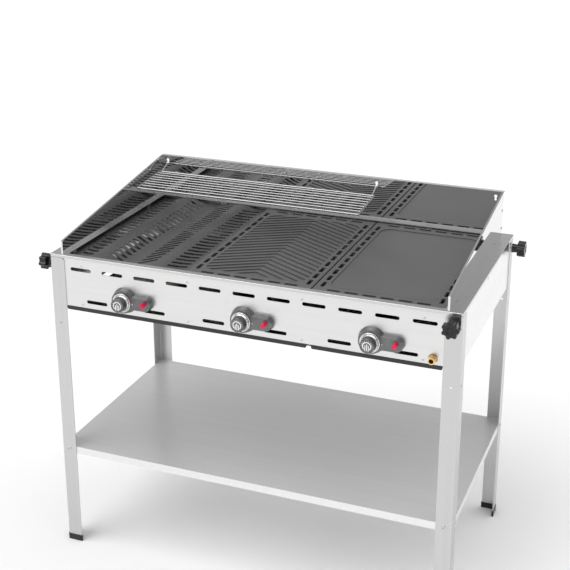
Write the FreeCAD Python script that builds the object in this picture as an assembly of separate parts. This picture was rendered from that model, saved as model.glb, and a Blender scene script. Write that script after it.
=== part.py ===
"""Free-standing three-burner gas charbroiler grill, built as separate sheet, cast and turned pieces.

Millimetres, +Z up, +X to the right of a person at the controls, who stands on the -Y side.
The origin is on the floor, at the middle of the whole grill's footprint.
"""
import FreeCAD, Part
import math
import os

from FreeCAD import Vector

# Overall dimensions
WIDTH = 1050.0              # over the legs
DEPTH = 564.0               # front leg faces to rear leg faces
LIP_Z = 825.0               # top of the body above the floor
KNOB_OUT = 40.0             # a control knob stands this far in front of the front leg faces
STAR_OUT = 36.0             # a star knob stands this far off its leg
FRONT = KNOB_OUT - (DEPTH + KNOB_OUT + STAR_OUT) / 2.0
BACK = FRONT + DEPTH
MID_Y = (FRONT + BACK) / 2.0
HALF = WIDTH / 2.0

# Sheet thicknesses and gaps
LEG_T = 2.0
SHEET = 1.5
GAP = 0.3                   # between pieces that slide past each other

# Legs
LEG_W = 40.0
LEG_BEND = 4.0
LEG_TOP = LIP_Z - 8.0
LEG_CORNER = 9.0
LEG_HOLE_R = 3.0
LEG_HOLE_Z = LIP_Z - 184.0
LEG_HOLE_IN = 20.0          # from the leg's corner to the middle of its face
SHOE_H = 16.0
SHOE_T = 1.6

# Body tub
PANEL_H = 134.0
PANEL_FLANGE = 18.0
SKIRT_H = 7.0
OPEN_HALF = 481.0           # half the width of the opening for the cooking inserts
OPEN_FRONT = FRONT + 16.0
OPEN_BACK = FRONT + 541.0
SLOT_L = 57.5
SLOT_H = 9.0
TOP_SLOTS = 11
TOP_SLOT_PITCH = 88.0
TOP_SLOT_DROP = 34.0
LOW_SLOTS = (-398.0, -239.0, -80.0, 80.0, 239.0, 398.0)
LOW_SLOT_DROP = 116.5
RIVET_X = (-438.0, -147.0, 147.0, 438.0)
RIVET_DROPS = (24.0, 126.0)
RIVET_R = 2.0

# Controls, one set for each burner
BURNER_X = (-318.0, 0.0, 318.0)
SIDES = ("left", "middle", "right")
CONTROL_DROP = 96.0
BEZEL_OUT = 14.0
BEZEL_BASE_R = 33.5
BEZEL_FACE_R = 29.0
TAB_R = 17.0
BUTTON_X = 60.0             # from the knob's axis to the igniter button
BUTTON_UP = 4.0
BUTTON_R = 5.5
BUTTON_TRAVEL = 5.0
BUTTON_OUT = 30.0
RING_R = 24.25
RING_RECESS = 5.0
RING_T = 2.7
KNOB_BACK_R = 22.0
KNOB_FRONT_R = 20.0
KNOB_TRAVEL = 3.5
SPINDLE_R = 4.0

# Gas line
MANIFOLD_DROP = 119.0
MANIFOLD_R = 8.0
MANIFOLD_Y = FRONT + 36.0
INLET_X = 461.0
INLET_COLLAR_R = 10.0
INLET_COLLAR_OUT = 4.0
INLET_R = 8.3
INLET_OUT = 15.0

# Burners
TUBE_R = 13.0
TUBE_WALL = 1.2
TUBE_X = 80.0               # from the burner's middle to each long run of tube
TUBE_BEND = 30.0
INLET_STEP = 2.0            # the inlet tube is this much smaller in radius
TUBE_FRONT = FRONT + 58.0
HEADER_Y = FRONT + 120.0
TUBE_BACK = FRONT + 480.0
PORTS = 12
PORT_PITCH = 25.0

# Cooking inserts
INSERT_W = 316.0
INSERT_PITCH = 320.0
INSERT_FRONT = FRONT + 18.0
INSERT_BACK = FRONT + 539.0
INSERT_MID = (INSERT_FRONT + INSERT_BACK) / 2.0
INSERT_TOP = LIP_Z - 4.0
INSERT_T = 6.0
SUPPORT_TOP = INSERT_TOP - INSERT_T - 2.0
EDGE_SLOT_L = 33.0
EDGE_SLOT_W = 10.0
EDGE_SLOT_IN = 15.5         # from a plate's edge to the middle of its row of slots
EDGE_SLOTS_X = 6
EDGE_SLOTS_Y = 11
EDGE_SLOT_PITCH_X = 43.0
EDGE_SLOT_PITCH_Y = 42.7
FIELD_IN = 28.0             # from a plate's side to the field inside its slots
FIELD_IN_END = 37.5
PATTERN_PITCH = 22.75       # of the ribs and of the wave grid's slots, from front to back
PATTERN_LEAN = 0.57         # how far they run back for each millimetre sideways
RIB_HALF = 5.0
RIB_H = 2.5
TRAY_DEPTH = 1.8
WAVE_RISE = 9.0
WAVE_HALVES = (62.0, 86.0, 86.0, 62.0)      # widths of the grid's slopes, left to right
WAVE_SLOT_X = (-124.0, -43.0, 43.0, 124.0)  # middles of its columns of slots
WAVE_SLOT_L = 44.0
WAVE_SLOT_W = 9.5

# Wind guard and warming rack
GUARD_X = 494.0             # outer faces of its sides
GUARD_BACK = FRONT + 558.0
GUARD_FRONT = FRONT + 4.0
GUARD_H = 114.0
GUARD_FRONT_H = 35.0
GUARD_HEM = 5.0
GUARD_FOLD = 12.0
TAB_DEPTH = 12.0
KEYHOLE_NECK = 9.0
RACK_X0 = -482.0
RACK_X1 = 160.0
RACK_BACK = FRONT + 515.0
RACK_FRONT = FRONT + 382.0
RACK_BACK_Z = LIP_Z + 77.0
RACK_FRONT_Z = LIP_Z + 66.0
RACK_ROD_R = 3.0
RACK_WIRE_R = 2.0
RACK_WIRES = 7
RACK_BARS = 3
RACK_HOOKS = (RACK_X0 + 9.0, RACK_X1 - 9.0)
RACK_TIP_Y = GUARD_BACK - SHEET - GAP - RACK_WIRE_R
RACK_TIP_Z = RACK_BACK_Z + 15.0
RACK_TIP_HALF = 4.0         # half the length of the cross pin on a hook's tip

# Drip pans
CARRIER_DROP = PANEL_H + 2.0
CARRIER_FRONT = FRONT + 1.0
CARRIER_BACK = FRONT + 500.0
STRIP_DROP = 144.0
PAN_DEPTH = 37.0
CARRIERS = {"double": (-484.0, 158.0), "single": (170.0, 484.0)}
PAN_FRONT = FRONT + 40.0
PAN_BACK = FRONT + 492.0
RAIL_GAP = 0.4

# Shelf
SHELF_TOP = LIP_Z - 538.0
SHELF_EDGE = 20.0
SHELF_BOLT_Z = SHELF_TOP - 8.0
SHELF_BOLT_R = 3.0

# Star knobs: name, leg corner signs in X and Y, and the way each one points
STAR_DROP = 30.0
STARS = (("front_right", 1, -1, Vector(0, -1, 0)),
         ("front_left", -1, -1, Vector(-1, 0, 0)),
         ("rear_right", 1, 1, Vector(1, 0, 0)),
         ("rear_left", -1, 1, Vector(0, 1, 0)))
STUD_R = 4.0
STAR_WASHER_T = 1.6
STAR_HUB_R = 12.0
STAR_HUB_T = 15.0
STAR_TIP_R = 21.0
STAR_LOBE_R = 4.6
STAR_VALLEY_R = 16.5
STAR_POINTS = 7

UP = Vector(0, 0, 1)
OUT = Vector(0, -1, 0)      # from the front panel towards the cook
IN = Vector(0, 1, 0)
RIGHT = Vector(1, 0, 0)


def box(x0, x1, y0, y1, z0, z1):
    return Part.makeBox(x1 - x0, y1 - y0, z1 - z0, Vector(x0, y0, z0))


def rod(radius, start, end):
    run = end - start
    return Part.makeCylinder(radius, run.Length, start, run)


def tapered(radius0, radius1, start, end):
    run = end - start
    return Part.makeCone(radius0, radius1, run.Length, start, run)


def joined(shapes):
    return shapes[0].fuse(shapes[1:]).removeSplitter()


def prism(points, run):
    """A closed outline of straight edges, pushed along run."""
    return Part.Face(Part.makePolygon(list(points) + [points[0]])).extrude(run)


def rounded(shape, radius, picked):
    """Round the edges that picked accepts."""
    return shape.makeFillet(radius, [edge for edge in shape.Edges if picked(edge)])


def along(edge, direction):
    if edge.Curve.TypeId != "Part::GeomLine":
        return False
    return abs(abs(edge.tangentAt(edge.FirstParameter).dot(direction)) - 1.0) < 1e-6


def slot_through_y(x, z, length, height, y0, y1):
    """A slot with round ends, long in X, that cuts through a sheet facing Y."""
    reach = (length - height) / 2.0
    middle = box(x - reach, x + reach, y0, y1, z - height / 2.0, z + height / 2.0)
    ends = [rod(height / 2.0, Vector(x + s * reach, y0, z), Vector(x + s * reach, y1, z))
            for s in (-1, 1)]
    return middle.fuse(ends)


def slot_through_z(x, y, size_x, size_y, z0, z1):
    """A slot with round ends, long in X or in Y, that cuts down through a plate."""
    radius = min(size_x, size_y) / 2.0
    dx = size_x / 2.0 - radius
    dy = size_y / 2.0 - radius
    wide_x = max(dx, radius * (dx == 0.0))
    wide_y = max(dy, radius * (dy == 0.0))
    middle = box(x - wide_x, x + wide_x, y - wide_y, y + wide_y, z0, z1)
    ends = [rod(radius, Vector(x + s * dx, y + s * dy, z0), Vector(x + s * dx, y + s * dy, z1))
            for s in (-1, 1)]
    return middle.fuse(ends)


def aimed(shape, point, direction):
    """Move a shape built up from the origin along +Z so that it points along direction from point."""
    turned = shape.copy()
    turned.Placement = FreeCAD.Placement(point, FreeCAD.Rotation(UP, direction))
    return turned


def corner_point(side, end, z):
    """The outer corner of a leg."""
    return Vector(side * HALF, FRONT if end < 0 else BACK, z)


def star_point(side, end, direction):
    """Where a star knob's axis meets the outer face of its leg."""
    point = corner_point(side, end, LIP_Z - STAR_DROP)
    if abs(direction.x) > 0.5:
        return point + Vector(0, -end * LEG_HOLE_IN, 0)
    return point + Vector(-side * LEG_HOLE_IN, 0, 0)


def star_holes(radius):
    """Clearance for the star knobs' studs, through the legs and the panels behind them."""
    holes = []
    for name, side, end, direction in STARS:
        point = star_point(side, end, direction)
        holes.append(rod(radius, point + direction, point - direction * 6.0))
    return holes


# Legs, shoes and shelf ------------------------------------------------------------------------------

def leg(side, end):
    """A folded angle that wraps one corner of the body from outside."""
    outer = box(HALF - LEG_W, HALF, FRONT, FRONT + LEG_W, SHOE_T, LEG_TOP)
    outer = rounded(outer, LEG_BEND, lambda e: along(e, UP) and e.CenterOfMass.x > HALF - 1
                    and e.CenterOfMass.y < FRONT + 1)
    inner = box(HALF - LEG_W - 5, HALF - LEG_T, FRONT + LEG_T, FRONT + LEG_W + 5, 0, LEG_TOP + 5)
    inner = rounded(inner, LEG_BEND - LEG_T, lambda e: along(e, UP) and e.CenterOfMass.x > HALF - 3
                    and e.CenterOfMass.y < FRONT + 3)
    angle = outer.cut(inner)
    angle = rounded(angle, LEG_CORNER, lambda e: e.Length < LEG_T + 0.1 and e.CenterOfMass.z > LEG_TOP - 0.1
                    and (e.CenterOfMass.x < HALF - LEG_W + 1 or e.CenterOfMass.y > FRONT + LEG_W - 1))
    if side < 0:
        angle = angle.mirror(Vector(0, 0, 0), RIGHT)
    if end > 0:
        angle = angle.mirror(Vector(0, MID_Y, 0), IN)
    holes = star_holes(STUD_R + 0.5)
    for z, radius in ((LEG_HOLE_Z, LEG_HOLE_R), (SHELF_BOLT_Z, SHELF_BOLT_R)):
        point = corner_point(side, end, z)
        on_end = point + Vector(-side * LEG_HOLE_IN, end, 0)
        on_side = point + Vector(side, -end * LEG_HOLE_IN, 0)
        holes.append(rod(radius, on_end, on_end - Vector(0, end * 6, 0)))
        holes.append(rod(radius, on_side, on_side - Vector(side * 6, 0, 0)))
    return angle.cut(holes)


def leg_shoes():
    """Plastic glides that cap the lower end of each leg."""
    shoes = []
    for side in (-1, 1):
        for end in (-1, 1):
            foot = box(HALF - LEG_W - SHOE_T, HALF + SHOE_T, FRONT - SHOE_T,
                       FRONT + LEG_W + SHOE_T, 0, SHOE_H)
            foot = rounded(foot, LEG_BEND + SHOE_T, lambda e: along(e, UP) and e.CenterOfMass.x > HALF
                           and e.CenterOfMass.y < FRONT)
            room = box(HALF - LEG_W - 5, HALF - LEG_T - SHOE_T, FRONT + LEG_T + SHOE_T, FRONT + LEG_W + 5,
                       -1, SHOE_H + 1)
            pocket = box(HALF - LEG_W, HALF, FRONT, FRONT + LEG_W, SHOE_T, SHOE_H + 1)
            pocket = rounded(pocket, LEG_BEND, lambda e: along(e, UP) and e.CenterOfMass.x > HALF - 1
                             and e.CenterOfMass.y < FRONT + 1)
            core = box(HALF - LEG_W - 5, HALF - LEG_T, FRONT + LEG_T, FRONT + LEG_W + 5, 0, SHOE_H + 2)
            core = rounded(core, LEG_BEND - LEG_T, lambda e: along(e, UP) and e.CenterOfMass.x > HALF - 3
                           and e.CenterOfMass.y < FRONT + 3)
            shoe = foot.cut([room, pocket.cut(core)])
            if side < 0:
                shoe = shoe.mirror(Vector(0, 0, 0), RIGHT)
            if end > 0:
                shoe = shoe.mirror(Vector(0, MID_Y, 0), IN)
            shoes.append(shoe)
    return shoes


def shelf():
    """A plate with its four edges turned down, between the legs."""
    outer = box(-HALF + LEG_T, HALF - LEG_T, FRONT + LEG_T, BACK - LEG_T, SHELF_TOP - SHELF_EDGE, SHELF_TOP)
    outer = rounded(outer, LEG_BEND - LEG_T, lambda e: along(e, UP))
    under = box(-HALF + LEG_T + SHEET, HALF - LEG_T - SHEET, FRONT + LEG_T + SHEET, BACK - LEG_T - SHEET,
                SHELF_TOP - SHELF_EDGE - 1, SHELF_TOP - SHEET)
    holes = [rod(SHELF_BOLT_R, start, start - way * 12) for start, way in shelf_bolt_places()]
    return outer.cut([under] + holes)


def shelf_bolt_places():
    """Two bolts through each leg into the shelf's edge: a start on the leg's face and the way out."""
    places = []
    for side in (-1, 1):
        for end in (-1, 1):
            point = corner_point(side, end, SHELF_BOLT_Z)
            places.append((point + Vector(-side * LEG_HOLE_IN, 0, 0), Vector(0, end, 0)))
            places.append((point + Vector(0, -end * LEG_HOLE_IN, 0), Vector(side, 0, 0)))
    return places


def shelf_bolts():
    """Button-head bolts with hexagon nuts inside the shelf's edge."""
    head_r = 5.5
    head_t = 3.0
    nut_r = 5.8
    nut_t = 5.0
    shank = LEG_T + SHEET + nut_t + 2.0
    dome = rounded(Part.makeCylinder(head_r, head_t), 2.0, lambda e: e.CenterOfMass.z > head_t - 0.1
                   and e.Length > 5)
    hexagon = [Vector(nut_r * math.cos(math.radians(60 * k)), nut_r * math.sin(math.radians(60 * k)),
                      -LEG_T - SHEET - nut_t) for k in range(6)]
    bolt = joined([dome, Part.makeCylinder(SHELF_BOLT_R, shank, Vector(0, 0, -shank)),
                   prism(hexagon, UP * nut_t)])
    return [aimed(bolt, start, way) for start, way in shelf_bolt_places()]


# Body tub -------------------------------------------------------------------------------------------

def control_centre(x, y):
    return Vector(x, y, LIP_Z - CONTROL_DROP)


def button_centre(x, y):
    return control_centre(x + BUTTON_X, y) + Vector(0, 0, BUTTON_UP)


def panel(end):
    """The front or rear panel: a sheet with its lower edge folded inwards."""
    outside = FRONT + LEG_T if end < 0 else BACK - LEG_T
    inward = 1 if end < 0 else -1
    y0, y1 = sorted((outside, outside + inward * SHEET))
    f0, f1 = sorted((outside, outside + inward * PANEL_FLANGE))
    x1 = HALF - LEG_BEND
    face = box(-x1, x1, y0, y1, LIP_Z - PANEL_H, LIP_Z - SHEET)
    fold = box(-x1 + PANEL_FLANGE, x1 - PANEL_FLANGE, f0, f1, LIP_Z - PANEL_H, LIP_Z - PANEL_H + SHEET)
    return joined([face, fold])


def front_panel():
    """The front panel, with its vents and the holes for the controls and the gas inlet."""
    y0 = FRONT
    y1 = FRONT + 6
    cuts = star_holes(STUD_R + 0.5)
    for k in range(TOP_SLOTS):
        x = (k - (TOP_SLOTS - 1) / 2.0) * TOP_SLOT_PITCH
        cuts.append(slot_through_y(x, LIP_Z - TOP_SLOT_DROP, SLOT_L, SLOT_H, y0, y1))
    for x in LOW_SLOTS:
        cuts.append(slot_through_y(x, LIP_Z - LOW_SLOT_DROP, SLOT_L, SLOT_H, y0, y1))
    for x in BURNER_X:
        cuts.append(rod(8.5, control_centre(x, y0), control_centre(x, y1)))
        cuts.append(rod(BUTTON_R + 1, button_centre(x, y0), button_centre(x, y1)))
    for x in RIVET_X:
        for drop in RIVET_DROPS:
            cuts.append(rod(RIVET_R, Vector(x, y0, LIP_Z - drop), Vector(x, y1, LIP_Z - drop)))
    cuts.append(rod(INLET_COLLAR_R + 1, Vector(INLET_X, y0, LIP_Z - MANIFOLD_DROP),
                    Vector(INLET_X, y1, LIP_Z - MANIFOLD_DROP)))
    return panel(-1).cut(cuts)


def rear_panel():
    return panel(1).cut(star_holes(STUD_R + 0.5))


def side_panel(side):
    """A side wall of the tub, with its lower edge folded inwards."""
    y0 = FRONT + LEG_BEND
    y1 = BACK - LEG_BEND
    x0, x1 = sorted((side * (HALF - LEG_T - SHEET), side * (HALF - LEG_T)))
    f0, f1 = sorted((side * (HALF - LEG_T - PANEL_FLANGE), side * (HALF - LEG_T)))
    face = box(x0, x1, y0, y1, LIP_Z - PANEL_H, LIP_Z - SHEET)
    fold = box(f0, f1, y0 + PANEL_FLANGE, y1 - PANEL_FLANGE, LIP_Z - PANEL_H, LIP_Z - PANEL_H + SHEET)
    screw = side_screw_point(side)
    hole = rod(RIVET_R, screw + RIGHT * 6, screw - RIGHT * 6)
    return joined([face, fold]).cut(star_holes(STUD_R + 0.5) + [hole])


def side_screw_point(side):
    return Vector(side * (HALF - LEG_T), FRONT + 267, LIP_Z - 14)


def guard_tab_places():
    """The tabs that locate the wind guard: each one's box across the sheet, at the body's top."""
    tab = 9.0
    places = []
    for side in (-1, 1):
        x0, x1 = sorted((side * (GUARD_X - SHEET), side * GUARD_X))
        for y in (GUARD_FRONT + 60, GUARD_BACK - 90):
            places.append((x0, x1, y - tab, y + tab))
    for x in (-300.0, 300.0):
        places.append((x - tab, x + tab, GUARD_BACK - SHEET, GUARD_BACK))
    return places


def top_frame():
    """The rim of the body: a flat ring round the inserts, turned down over the leg tops."""
    plate = box(-HALF, HALF, FRONT, BACK, LIP_Z - SHEET, LIP_Z)
    skirt = box(-HALF, HALF, FRONT, BACK, LIP_Z - SKIRT_H, LIP_Z)
    skirt = skirt.cut(box(-HALF + LEG_T, HALF - LEG_T, FRONT + LEG_T, BACK - LEG_T, 0, LIP_Z))
    ring = joined([plate, skirt])
    ring = rounded(ring, LEG_BEND - 0.5, lambda e: along(e, UP) and abs(e.CenterOfMass.x) > HALF - 0.5)
    ring = rounded(ring, 1.2, lambda e: e.BoundBox.ZMin > LIP_Z - 0.01
                   and (abs(e.CenterOfMass.x) > HALF - 6 or abs(e.CenterOfMass.y - MID_Y) > DEPTH / 2 - 6))
    hole = box(-OPEN_HALF, OPEN_HALF, OPEN_FRONT, OPEN_BACK, LIP_Z - 30, LIP_Z + 5)
    hole = rounded(hole, 5.0, lambda e: along(e, UP))
    slots = []
    for x0, x1, y0, y1 in guard_tab_places():
        slots.append(box(x0 - GAP, x1 + GAP, y0 - 1, y1 + 1, LIP_Z - 5, LIP_Z + 5))
    return ring.cut([hole] + slots)


def insert_supports():
    """Ledges round the opening and two T bars between the inserts, under their edges."""
    reach = 10.0
    y_in = FRONT + LEG_T + SHEET
    y_out = BACK - LEG_T - SHEET
    x_in = HALF - LEG_T - SHEET
    top = SUPPORT_TOP
    lip = 7.0
    web = 20.0
    front = joined([box(-x_in, x_in, y_in, OPEN_FRONT + reach, top - SHEET, top),
                    box(-x_in, x_in, y_in, y_in + SHEET, top - lip, top)])
    rear = joined([box(-x_in, x_in, OPEN_BACK - reach, y_out, top - SHEET, top),
                   box(-x_in, x_in, y_out - SHEET, y_out, top - lip, top)])
    y0 = OPEN_FRONT + reach
    y1 = OPEN_BACK - reach
    pieces = [front, rear]
    for side in (-1, 1):
        x0, x1 = sorted((side * (OPEN_HALF - reach), side * x_in))
        w0, w1 = sorted((side * (x_in - SHEET), side * x_in))
        pieces.append(joined([box(x0, x1, y0, y1, top - SHEET, top),
                              box(w0, w1, y0, y1, top - lip, top)]))
        middle = side * INSERT_PITCH / 2.0
        pieces.append(joined([box(middle - 10, middle + 10, y0, y1, top - SHEET, top),
                              box(middle - SHEET, middle + SHEET, y0, y1, top - web, top)]))
    return pieces


def panel_rivets():
    """Domed blind rivets in the front panel, and one fixing screw high on each side."""
    head_r = 3.4
    head_t = 1.1
    head = rounded(Part.makeCylinder(head_r, head_t), 0.9, lambda e: e.CenterOfMass.z > head_t - 0.01
                   and e.Length > 3)
    rivet = joined([head, Part.makeCylinder(RIVET_R, SHEET + 4, Vector(0, 0, -SHEET - 4))])
    short = joined([head, Part.makeCylinder(RIVET_R, SHEET, Vector(0, 0, -SHEET))])
    places = []
    for x in RIVET_X:
        places.append(aimed(short, Vector(x, FRONT + LEG_T, LIP_Z - RIVET_DROPS[0]), OUT))
        places.append(aimed(rivet, Vector(x, FRONT + LEG_T, LIP_Z - RIVET_DROPS[1]), OUT))
    for side in (-1, 1):
        places.append(aimed(short, side_screw_point(side), RIGHT * side))
    return places


# Star knobs -----------------------------------------------------------------------------------------

def star_knob(side, end, direction):
    """A lobed grip moulded on a hub, with its threaded stud."""
    start = STAR_WASHER_T + 0.1
    hub = tapered(STAR_HUB_R, STAR_HUB_R - 1.5, Vector(0, 0, start), Vector(0, 0, start + STAR_HUB_T))
    z = start + STAR_HUB_T
    half = math.pi / STAR_POINTS
    lobe_at = STAR_TIP_R - STAR_LOBE_R
    lean = 2 * lobe_at * math.cos(half)
    hollow_r = ((lobe_at ** 2 + STAR_VALLEY_R ** 2 - lean * STAR_VALLEY_R - STAR_LOBE_R ** 2)
                / (2 * STAR_LOBE_R - 2 * STAR_VALLEY_R + lean))

    def at(radius, angle):
        return Vector(radius * math.cos(angle), radius * math.sin(angle), z)

    def flank(lobe_angle, hollow_angle):
        lobe = at(lobe_at, lobe_angle)
        hollow = at(STAR_VALLEY_R + hollow_r, hollow_angle)
        return lobe + (hollow - lobe) * (STAR_LOBE_R / (STAR_LOBE_R + hollow_r))

    arcs = []
    for k in range(STAR_POINTS):
        a = 2 * k * half
        first = flank(a, a - half)
        last = flank(a, a + half)
        arcs.append(Part.Arc(first, at(STAR_TIP_R, a), last).toShape())
        arcs.append(Part.Arc(last, at(STAR_VALLEY_R, a + half), flank(a + 2 * half, a + half)).toShape())
    grip = Part.Face(Part.Wire(arcs)).extrude(Vector(0, 0, STAR_OUT - z))
    grip = grip.makeFillet(2.5, [e for e in grip.Edges if e.BoundBox.ZMin > STAR_OUT - 0.1])
    grip = grip.cut(Part.makeCylinder(9.0, 2.0, Vector(0, 0, STAR_OUT - 2.0)))
    stud = Part.makeCylinder(STUD_R, 16.0 + start, Vector(0, 0, -16.0))
    return aimed(joined([hub, grip, stud]), star_point(side, end, direction), direction)


def star_washer(side, end, direction):
    ring = Part.makeCylinder(11.0, STAR_WASHER_T).cut(Part.makeCylinder(STUD_R + 0.3, STAR_WASHER_T))
    return aimed(ring, star_point(side, end, direction), direction)


def star_nuts():
    """Press nuts behind the panels, one for each star knob's stud."""
    radius = 7.5
    nut = Part.makeCylinder(radius, 8.0, Vector(0, 0, -LEG_T - SHEET - 8.0))
    nut = nut.cut(Part.makeCylinder(STUD_R + 0.05, 30.0, Vector(0, 0, -20.0)))
    return [aimed(nut, star_point(side, end, way), way) for name, side, end, way in STARS]


# Wind guard and warming rack ------------------------------------------------------------------------

def guard_side_outline(inset):
    """The outline of a side sheet, or of the same sheet without its hems."""
    rise = (GUARD_H - GUARD_FRONT_H) / (GUARD_BACK - SHEET - GUARD_FRONT)
    y0 = GUARD_FRONT + inset
    y1 = GUARD_BACK - SHEET
    drop = inset * math.hypot(1.0, rise)
    return [(y0, 0.0), (y1, 0.0), (y1, GUARD_H - drop), (y0, GUARD_FRONT_H + rise * inset - drop)]


def guard_side(side):
    """A side sheet with a narrow hem turned in along its front and its sloping top."""
    x = side * GUARD_X
    inward = RIGHT * -side
    outer = prism([Vector(x, y, LIP_Z + z) for y, z in guard_side_outline(0.0)], inward * GUARD_HEM)
    hollow = prism([Vector(x - side * SHEET, y, LIP_Z + z) for y, z in guard_side_outline(SHEET)],
                   inward * GUARD_HEM)
    sheet = outer.cut(hollow)
    tabs = [box(x0, x1, y0, y1, LIP_Z - TAB_DEPTH, LIP_Z + 1) for x0, x1, y0, y1 in guard_tab_places()
            if min(x0 * side, x1 * side) > GUARD_X - 10]
    cuts = [rod(2.0, point + RIGHT * 6, point - RIGHT * 6) for point in guard_screw_points(side)]
    return joined([sheet] + tabs).cut(cuts)


def guard_screw_points(side):
    return [Vector(side * GUARD_X, GUARD_BACK - 8.0, LIP_Z + z) for z in (18.0, 66.0)]


def keyhole(x, z):
    """A hanging hole: a round eye with a narrower slot below it, where a rack's hook bears."""
    y0 = GUARD_BACK - 5
    y1 = GUARD_BACK + 5
    low = z - KEYHOLE_NECK
    eye = rod(4.0, Vector(x, y0, z), Vector(x, y1, z))
    neck = box(x - 2.2, x + 2.2, y0, y1, low, z)
    foot = rod(2.9, Vector(x, y0, low), Vector(x, y1, low))
    return eye.fuse([neck, foot])


def guard_back():
    """The rear sheet, folded back along its top and forward along its ends."""
    x1 = GUARD_X - SHEET
    y0 = GUARD_BACK - SHEET
    z0 = LIP_Z
    z1 = LIP_Z + GUARD_H
    sheet = box(-GUARD_X, GUARD_X, y0, GUARD_BACK, z0, z1)
    fold = box(-GUARD_X, GUARD_X, GUARD_BACK, GUARD_BACK + GUARD_FOLD, z1 - SHEET, z1)
    ends = [box(x1 - SHEET, x1, y0 - 12, y0, z0 + 2, z1 - 10),
            box(-x1, -x1 + SHEET, y0 - 12, y0, z0 + 2, z1 - 10)]
    tabs = [box(a, b, c, d, z0 - TAB_DEPTH, z0 + 1) for a, b, c, d in guard_tab_places() if b - a > 10]
    cuts = [keyhole(x, RACK_TIP_Z + KEYHOLE_NECK) for x in RACK_HOOKS + (-RACK_HOOKS[0],)]
    for side in (-1, 1):
        cuts += [rod(2.0, point + RIGHT * 6, point - RIGHT * 6) for point in guard_screw_points(side)]
    return joined([sheet, fold] + ends + tabs).cut(cuts)


def guard_screws():
    """Pan-head screws that hold the guard's sides to its back."""
    screws = []
    head = rounded(Part.makeCylinder(3.6, 2.2), 1.4, lambda e: e.CenterOfMass.z > 2.1 and e.Length > 5)
    screw = joined([head, Part.makeCylinder(2.0, 7.0, Vector(0, 0, -7.0))])
    for side in (-1, 1):
        screws += [aimed(screw, point, RIGHT * side) for point in guard_screw_points(side)]
    return screws


def warming_rack():
    """A welded wire shelf: rods across, bars front to back, and two hooks with cross pins at their tips."""
    fall = (RACK_BACK_Z - RACK_FRONT_Z) / (RACK_BACK - RACK_FRONT)

    def on_rack(x, y, lift=0.0):
        return Vector(x, y, RACK_BACK_Z - fall * (RACK_BACK - y) + lift)

    x0 = RACK_X0 + RACK_ROD_R
    x1 = RACK_X1 - RACK_ROD_R
    ring = [on_rack(x0, RACK_FRONT), on_rack(x1, RACK_FRONT), on_rack(x1, RACK_BACK), on_rack(x0, RACK_BACK)]
    pieces = []
    for a, b in zip(ring, ring[1:] + ring[:1]):
        pieces.append(rod(RACK_ROD_R, a, b))
        pieces.append(Part.makeSphere(RACK_ROD_R, a))
    lift = RACK_WIRE_R
    gap = (RACK_BACK - RACK_FRONT) / (RACK_WIRES + 1)
    for k in range(1, RACK_WIRES + 1):
        y = RACK_FRONT + k * gap
        pieces.append(rod(RACK_WIRE_R, on_rack(x0, y, lift), on_rack(x1, y, lift)))
    for k in range(RACK_BARS):
        x = RACK_X0 + (k + 0.5) * (RACK_X1 - RACK_X0) / RACK_BARS
        pieces.append(rod(RACK_WIRE_R, on_rack(x, RACK_FRONT, -lift / 2), on_rack(x, RACK_BACK, -lift / 2)))
    for x in RACK_HOOKS:
        tip = Vector(x, RACK_TIP_Y, RACK_TIP_Z)
        half_pin = RIGHT * RACK_TIP_HALF
        pieces.append(rod(RACK_WIRE_R, on_rack(x, RACK_BACK), tip))
        pieces.append(rod(RACK_WIRE_R, tip - half_pin, tip + half_pin))
    return joined(pieces)


# Cooking inserts ------------------------------------------------------------------------------------

def insert_blank(centre, top, thickness):
    plate = box(centre - INSERT_W / 2, centre + INSERT_W / 2, INSERT_FRONT, INSERT_BACK,
                top - thickness, top)
    return rounded(plate, 6.0, lambda e: along(e, UP))


def edge_slots(centre):
    """The row of drain slots round a plate's edge."""
    low = SUPPORT_TOP - 5
    high = LIP_Z
    slots = []
    for k in range(EDGE_SLOTS_X):
        x = centre + (k - (EDGE_SLOTS_X - 1) / 2.0) * EDGE_SLOT_PITCH_X
        for y in (INSERT_FRONT + EDGE_SLOT_IN, INSERT_BACK - EDGE_SLOT_IN):
            slots.append(slot_through_z(x, y, EDGE_SLOT_L, EDGE_SLOT_W, low, high))
    for k in range(EDGE_SLOTS_Y):
        y = INSERT_MID + (k - (EDGE_SLOTS_Y - 1) / 2.0) * EDGE_SLOT_PITCH_Y
        for side in (-1, 1):
            x = centre + side * (INSERT_W / 2 - EDGE_SLOT_IN)
            slots.append(slot_through_z(x, y, EDGE_SLOT_W, EDGE_SLOT_L, low, high))
    return slots


def plate_field(centre, low, high):
    """The rounded rectangle inside a plate's ring of slots."""
    half = INSERT_W / 2 - FIELD_IN
    field = box(centre - half, centre + half, INSERT_FRONT + FIELD_IN_END,
                INSERT_BACK - FIELD_IN_END, low, high)
    return rounded(field, 28.0, lambda e: along(e, UP))


def griddle_plate():
    """A smooth plate with a shallow tray and drain slots round it."""
    centre = INSERT_PITCH
    plate = insert_blank(centre, INSERT_TOP, INSERT_T)
    tray = plate_field(centre, INSERT_TOP - TRAY_DEPTH, INSERT_TOP + 1)
    skirt = plate_skirt(centre)
    return joined([plate.cut([tray] + edge_slots(centre)), skirt])


def plate_skirt(centre):
    """The stiffening rim under a plate, which rests on the supports."""
    outer = box(centre - INSERT_W / 2, centre + INSERT_W / 2, INSERT_FRONT, INSERT_BACK,
                SUPPORT_TOP, INSERT_TOP - INSERT_T)
    outer = rounded(outer, 6.0, lambda e: along(e, UP))
    wall = 5.0
    inner = box(centre - INSERT_W / 2 + wall, centre + INSERT_W / 2 - wall, INSERT_FRONT + wall,
                INSERT_BACK - wall, SUPPORT_TOP - 1, INSERT_TOP)
    return outer.cut(inner)


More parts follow.
